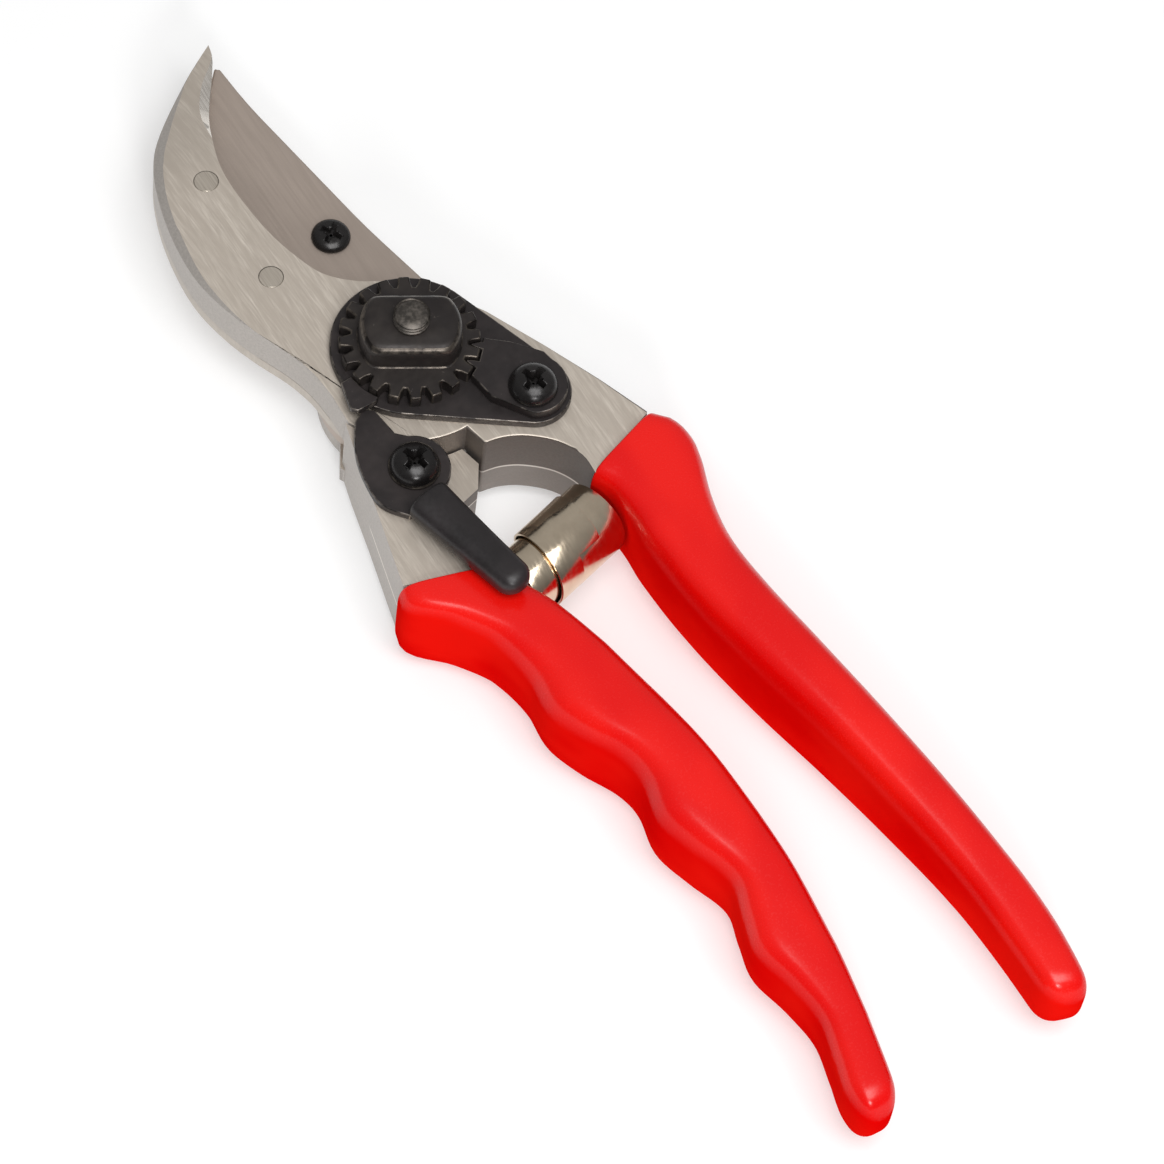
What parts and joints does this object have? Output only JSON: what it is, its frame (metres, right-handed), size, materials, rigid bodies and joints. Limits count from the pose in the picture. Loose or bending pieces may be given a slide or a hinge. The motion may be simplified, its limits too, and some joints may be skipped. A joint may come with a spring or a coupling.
{
  "type": "bypass pruning shears",
  "caption": "One-hand bypass pruning shears with forged handles, a bolted blade, a hooked counter blade, a thumb catch and a volute spring.",
  "frame": {"origin": "on the pivot axis, at the underside of the pivot bolt's head", "axes": "+Z along the pivot axis towards the adjusting nut, +Y towards the blade tips, +X towards the hook handle's grip"},
  "size_m": [0.058, 0.2155, 0.0305],
  "materials": {
    "forged_aluminium": "brushed with a satin sheen",
    "red_coat": "glossy dipped coat",
    "ground_steel": "ground",
    "blade_steel": "smooth hardened steel",
    "black_oxide_steel": "black oxide with bare edges",
    "bolt_steel": "worn oxide",
    "black_screws": "black and slightly glossy",
    "bronze": "plain turned",
    "spring_nickel": "bright nickel plate",
    "black_moulding": "satin"
  },
  "bodies": {
    "hook_side": {"hook_handle": "forged_aluminium", "hook_grip": "red_coat", "counter_blade": "ground_steel", "counter_blade_rivets": "ground_steel", "lock_plate": "black_oxide_steel", "adjusting_nut": "black_oxide_steel", "pivot_bolt": "bolt_steel", "pivot_washer": "bolt_steel", "toothed_segment": "black_oxide_steel", "segment_screw": "black_screws"},
    "blade_side": {"blade_handle": "forged_aluminium", "blade_grip": "red_coat", "cutting_blade": "blade_steel", "blade_screw": "black_screws", "pivot_bush": "bronze", "catch_screw": "black_screws", "catch_washer": "black_screws", "return_spring": "spring_nickel"},
    "thumb_catch": {"catch_plate": "black_oxide_steel", "catch_sleeve": "black_moulding"}
  },
  "joints": [
    {"name": "blade_open", "type": "hinge", "parent": "hook_side", "child": "blade_side", "pos_m": [0, 0, 0.011], "axis": [0, 0, -1], "range_deg": [0, 30]},
    {"name": "catch_swing", "type": "hinge", "parent": "blade_side", "child": "thumb_catch", "pos_m": [-0.011, -0.0192, 0.02], "axis": [0, 0, 1], "range_deg": [0, 25]}
  ]
}
